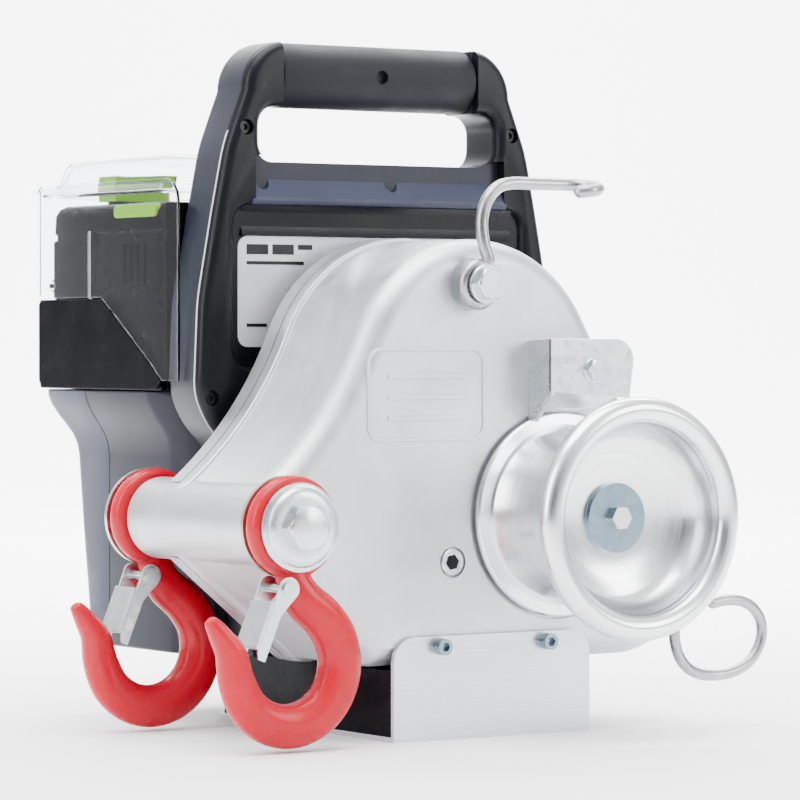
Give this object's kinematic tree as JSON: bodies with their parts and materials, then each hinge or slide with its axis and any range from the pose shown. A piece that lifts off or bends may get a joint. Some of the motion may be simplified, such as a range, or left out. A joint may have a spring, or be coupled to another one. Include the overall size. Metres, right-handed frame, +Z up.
{
  "type": "battery capstan rope puller",
  "caption": "Portable battery-powered capstan winch with a flared rope drum, carry handle, clear battery lid, two safety hooks and a bent foot plate.",
  "frame": {"origin": "centre of the base plate's underside", "axes": "+Z up, -Y out of the rope drum's mouth, +Y towards the rear of the machine, -X towards the anchor hooks"},
  "size_m": [0.4024, 0.411, 0.408],
  "materials": {
    "stainless": "fine brushed",
    "zinc": "zinc plated, slightly blue",
    "cast_aluminium": "satin cast",
    "turned_aluminium": "turned and polished",
    "black_moulding": "fine grained",
    "grey_moulding": "fine grained",
    "light_grey_moulding": "fine grained",
    "grip": "matt",
    "black_screw": "matt black",
    "label": "satin film",
    "gasket": "matt",
    "bearing_steel": "ground",
    "motor_steel": "black oxide",
    "copper": "enamelled wire",
    "bronze": "sintered",
    "brass": "stamped",
    "board": "solder mask",
    "shaft_steel": "ground",
    "gear_steel": "oiled",
    "spring_steel": "drawn",
    "hook_red": "gloss paint",
    "battery_black": "fine grained",
    "lime": "satin",
    "red_button": "satin",
    "clear_lid": "clear polycarbonate"
  },
  "bodies": {
    "machine": {"base_plate": "stainless", "base_block": "black_moulding", "base_screws": "zinc", "gear_case": "cast_aluminium", "case_gasket": "gasket", "case_back_plate": "cast_aluminium", "case_bolts": "zinc", "oil_seal": "gasket", "output_bearings": "bearing_steel", "intermediate_bearings": "bearing_steel", "motor_bearings": "bearing_steel", "motor_can": "motor_steel", "motor_stator": "copper", "motor_end_cap": "motor_steel", "guide_bracket": "zinc", "guide_bolt": "zinc", "rope_hook": "stainless", "rope_hook_bolt": "zinc", "exit_ring": "stainless", "anchor_bolt": "zinc", "anchor_cap": "zinc", "anchor_nut": "zinc", "hook_bushes": "bronze", "front_shell": "black_moulding", "mid_shell": "grey_moulding", "rear_shell": "light_grey_moulding", "controller_cover": "grey_moulding", "grip_front": "grip", "grip_rear": "grip", "shell_screws": "black_screw", "label_plate": "label", "battery_cradle": "black_moulding", "battery_terminals": "brass", "lid_hinge_pin": "black_moulding", "lid_catch": "black_moulding", "control_board": "board", "heat_sink": "turned_aluminium"},
    "drum_spindle": {"drum": "turned_aluminium", "drum_washer": "zinc", "drum_bolt": "zinc", "output_shaft": "shaft_steel", "output_gear": "gear_steel"},
    "intermediate": {"intermediate_shaft": "shaft_steel", "intermediate_gear": "gear_steel"},
    "rotor": {"rotor_shaft": "shaft_steel", "rotor_core": "motor_steel", "cooling_fan": "black_moulding"},
    "front_hook": {"front_hook": "hook_red", "front_latch_rivet": "zinc"},
    "front_latch": {"front_latch": "zinc", "front_latch_spring": "spring_steel"},
    "rear_hook": {"rear_hook": "hook_red", "rear_latch_rivet": "zinc"},
    "rear_latch": {"rear_latch": "zinc", "rear_latch_spring": "spring_steel"},
    "lid": {"battery_lid": "clear_lid"},
    "battery": {"battery_case": "battery_black"},
    "battery_release": {"battery_button": "lime"},
    "power_switch": {"power_button": "red_button"}
  },
  "joints": [
    {"name": "drum_spin", "type": "hinge", "parent": "machine", "child": "drum_spindle", "pos_m": [0.0475, -0.1, 0.128], "axis": [0, -1, 0], "continuous": true},
    {"name": "intermediate_spin", "type": "hinge", "parent": "machine", "child": "intermediate", "pos_m": [-0.00791, -0.04, 0.19892], "axis": [0, -1, 0], "continuous": true},
    {"name": "rotor_spin", "type": "hinge", "parent": "machine", "child": "rotor", "pos_m": [-0.04291, 0.04, 0.1383], "axis": [0, -1, 0], "continuous": true},
    {"name": "front_hook_swing", "type": "hinge", "parent": "machine", "child": "front_hook", "pos_m": [-0.144, -0.104, 0.126], "axis": [0, 1, 0], "range_deg": [-6, 100]},
    {"name": "rear_hook_swing", "type": "hinge", "parent": "machine", "child": "rear_hook", "pos_m": [-0.144, 0.047, 0.126], "axis": [0, 1, 0], "range_deg": [-6, 100]},
    {"name": "front_latch_open", "type": "hinge", "parent": "front_hook", "child": "front_latch", "pos_m": [-0.153, -0.104, 0.092], "axis": [0, -1, 0], "range_deg": [0, 30], "stiffness_Nm_per_rad": 0.3, "springref_deg": -17.19},
    {"name": "rear_latch_open", "type": "hinge", "parent": "rear_hook", "child": "rear_latch", "pos_m": [-0.153, 0.047, 0.092], "axis": [0, -1, 0], "range_deg": [0, 30], "stiffness_Nm_per_rad": 0.3, "springref_deg": -17.19},
    {"name": "lid_open", "type": "hinge", "parent": "machine", "child": "lid", "pos_m": [-0.084, 0.215, 0.264], "axis": [-1, 0, 0], "range_deg": [0, 85]},
    {"name": "battery_lift", "type": "slide", "parent": "machine", "child": "battery", "axis": [0, 0, 1], "range_m": [0, 0.004]},
    {"name": "battery_release_press", "type": "slide", "parent": "battery", "child": "battery_release", "axis": [0, 0, -1], "range_m": [0, 0.002], "stiffness_N_per_m": 600},
    {"name": "power_press", "type": "slide", "parent": "machine", "child": "power_switch", "axis": [0, -1, 0], "range_m": [0, 0.002], "stiffness_N_per_m": 600}
  ],
  "couplings": [
    {"joint": "intermediate_spin", "follows": "drum_spin", "ratio": -4},
    {"joint": "rotor_spin", "follows": "drum_spin", "ratio": 16}
  ]
}
